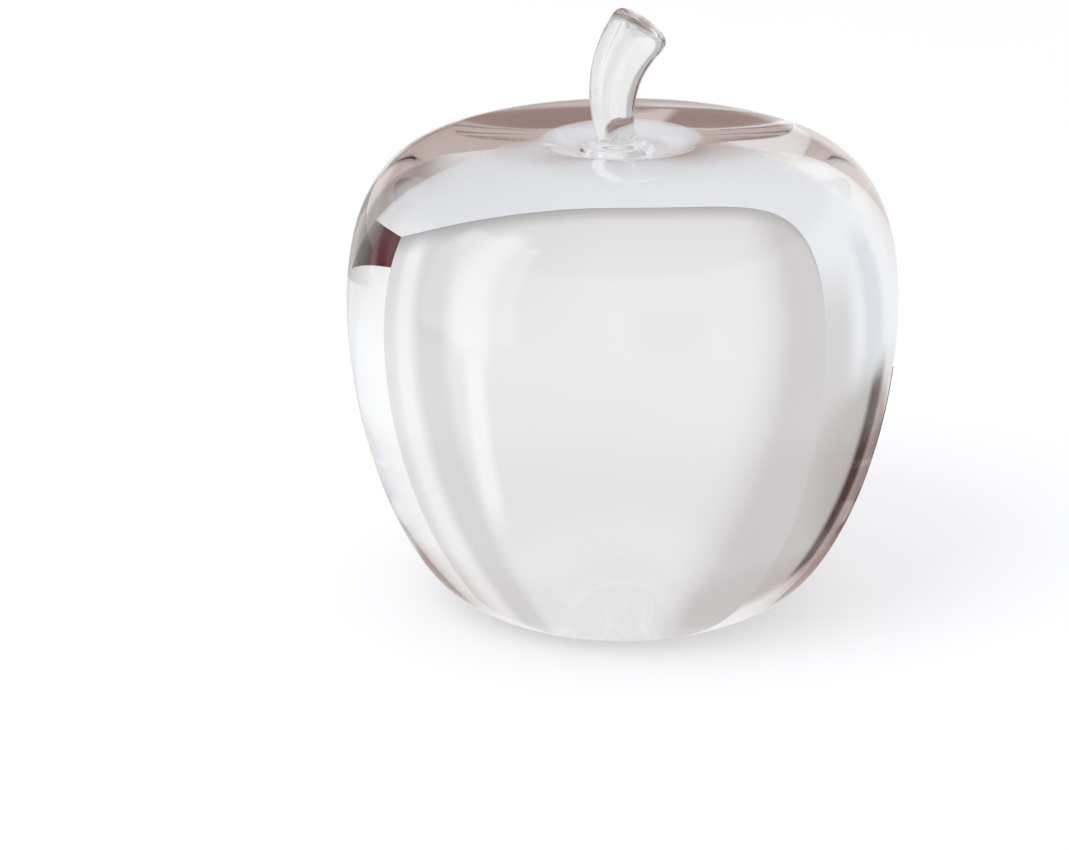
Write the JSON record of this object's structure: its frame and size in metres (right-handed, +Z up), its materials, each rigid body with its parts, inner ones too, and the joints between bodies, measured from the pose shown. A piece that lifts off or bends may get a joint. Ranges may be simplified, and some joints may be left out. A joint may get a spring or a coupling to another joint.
{
  "type": "glass apple ornament",
  "caption": "Solid clear crystal apple ornament with a flat ground base and a bent glass stem, bonded on a small clear foot in its top dimple.",
  "frame": {"origin": "middle of the flat base, on the surface that the apple stands on", "axes": "+Z up along the body's turning axis; the stem bends towards +X; -Y is the side seen in the picture"},
  "size_m": [0.1, 0.1, 0.1097],
  "materials": {
    "body_crystal": "clear polished crystal",
    "stem_glass": "clear fire-polished glass with faint draw lines",
    "clear_bond": "clear cured adhesive"
  },
  "bodies": {
    "root": {"apple_body": "body_crystal", "foot_bond": "clear_bond", "stem_foot": "stem_glass", "rod_bond": "clear_bond", "stem_rod": "stem_glass"}
  },
  "joints": []
}
